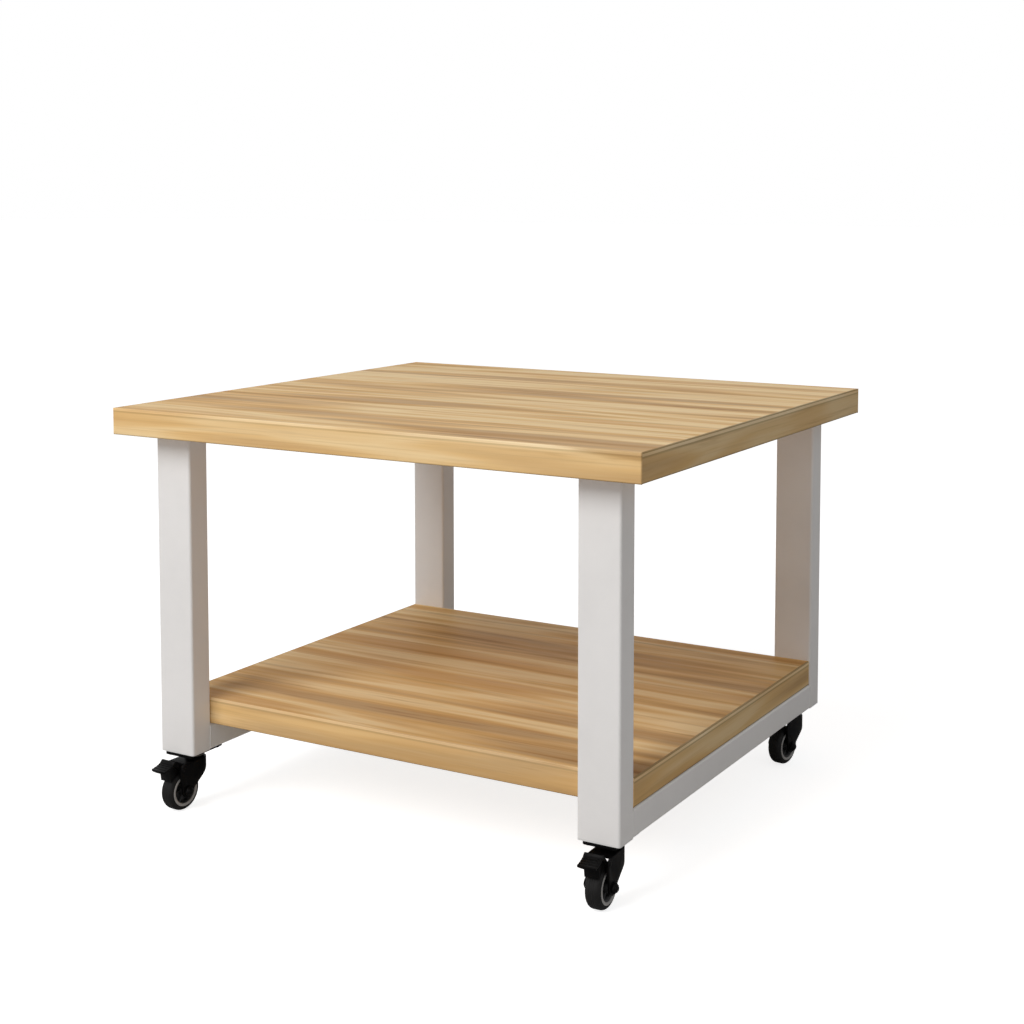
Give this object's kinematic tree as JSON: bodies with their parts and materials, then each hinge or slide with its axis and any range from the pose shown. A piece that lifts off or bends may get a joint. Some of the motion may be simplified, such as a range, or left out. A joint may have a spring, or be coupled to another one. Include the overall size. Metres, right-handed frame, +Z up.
{
  "type": "mobile printer stand",
  "caption": "Low wheeled printer stand: wood-grain top and lower shelf on white steel side frames, with swivel casters and foot brakes at the front.",
  "frame": {"origin": "on the floor under the middle of the top board", "axes": "+Z up, +X to the right along the board's width, -Y towards the front, where the braked casters are"},
  "size_m": [0.55, 0.5, 0.383],
  "materials": {
    "top_laminate": "satin light oak laminate, grain along X",
    "shelf_laminate": "satin light oak laminate, grain along X",
    "edge_band": "satin wood-grain edge band",
    "white_frame": "white powder coat, fine orange peel",
    "white_plug": "moulded white nylon",
    "zinc_hardware": "zinc plated",
    "nylon_ring": "natural acetal",
    "black_pressing": "black electrocoat, semi-gloss",
    "black_hardware": "black oxide",
    "black_hub": "moulded black plastic",
    "grey_rim": "moulded grey plastic",
    "tyre": "dark rubber tread, matte"
  },
  "bodies": {
    "stand": {"top_board": "top_laminate", "top_band_front": "edge_band", "top_band_back": "edge_band", "top_band_left": "edge_band", "top_band_right": "edge_band", "shelf_board": "shelf_laminate", "shelf_band_front": "edge_band", "shelf_band_back": "edge_band", "shelf_band_left": "edge_band", "shelf_band_right": "edge_band", "leg_front_left": "white_frame", "leg_front_right": "white_frame", "leg_back_left": "white_frame", "leg_back_right": "white_frame", "rail_left": "white_frame", "rail_right": "white_frame", "leg_tabs": "white_frame", "leg_plugs": "white_plug", "caster_stems": "zinc_hardware", "caster_flanges": "black_pressing", "upper_races": "black_hardware", "thrust_rings": "nylon_ring"},
    "swivel_front_left": {"fork_front_left": "black_pressing", "axle_front_left": "black_hardware", "axle_nut_front_left": "black_hardware", "pedal_pin_front_left": "black_hardware"},
    "wheel_front_left": {"hub_front_left": "black_hub", "rim_front_left": "grey_rim", "tyre_front_left": "tyre"},
    "brake_front_left": {"pedal_front_left": "black_pressing"},
    "swivel_front_right": {"fork_front_right": "black_pressing", "axle_front_right": "black_hardware", "axle_nut_front_right": "black_hardware", "pedal_pin_front_right": "black_hardware"},
    "wheel_front_right": {"hub_front_right": "black_hub", "rim_front_right": "grey_rim", "tyre_front_right": "tyre"},
    "brake_front_right": {"pedal_front_right": "black_pressing"},
    "swivel_back_left": {"fork_back_left": "black_pressing", "axle_back_left": "black_hardware", "axle_nut_back_left": "black_hardware"},
    "wheel_back_left": {"hub_back_left": "black_hub", "rim_back_left": "grey_rim", "tyre_back_left": "tyre"},
    "swivel_back_right": {"fork_back_right": "black_pressing", "axle_back_right": "black_hardware", "axle_nut_back_right": "black_hardware"},
    "wheel_back_right": {"hub_back_right": "black_hub", "rim_back_right": "grey_rim", "tyre_back_right": "tyre"}
  },
  "joints": [
    {"name": "swivel_front_left", "type": "hinge", "parent": "stand", "child": "swivel_front_left", "pos_m": [-0.225, -0.2015, 0.047], "axis": [0, 0, 1], "continuous": true},
    {"name": "roll_front_left", "type": "hinge", "parent": "swivel_front_left", "child": "wheel_front_left", "pos_m": [-0.22633, -0.22045, 0.019], "axis": [0.9976, -0.0698, 0], "continuous": true},
    {"name": "brake_front_left", "type": "hinge", "parent": "swivel_front_left", "child": "brake_front_left", "pos_m": [-0.22674, -0.22644, 0.041], "axis": [0.9976, -0.0698, 0], "range_deg": [0, 6]},
    {"name": "swivel_front_right", "type": "hinge", "parent": "stand", "child": "swivel_front_right", "pos_m": [0.225, -0.2015, 0.047], "axis": [0, 0, 1], "continuous": true},
    {"name": "roll_front_right", "type": "hinge", "parent": "swivel_front_right", "child": "wheel_front_right", "pos_m": [0.22566, -0.22049, 0.019], "axis": [0.9994, 0.0349, 0], "continuous": true},
    {"name": "brake_front_right", "type": "hinge", "parent": "swivel_front_right", "child": "brake_front_right", "pos_m": [0.22587, -0.22648, 0.041], "axis": [0.9994, 0.0349, 0], "range_deg": [0, 6]},
    {"name": "swivel_back_left", "type": "hinge", "parent": "stand", "child": "swivel_back_left", "pos_m": [-0.225, 0.2015, 0.047], "axis": [0, 0, 1], "continuous": true},
    {"name": "roll_back_left", "type": "hinge", "parent": "swivel_back_left", "child": "wheel_back_left", "pos_m": [-0.22599, 0.18253, 0.019], "axis": [0.9986, -0.0523, 0], "continuous": true},
    {"name": "swivel_back_right", "type": "hinge", "parent": "stand", "child": "swivel_back_right", "pos_m": [0.225, 0.2015, 0.047], "axis": [0, 0, 1], "continuous": true},
    {"name": "roll_back_right", "type": "hinge", "parent": "swivel_back_right", "child": "wheel_back_right", "pos_m": [0.22236, 0.18268, 0.019], "axis": [0.9903, -0.1392, 0], "continuous": true}
  ]
}
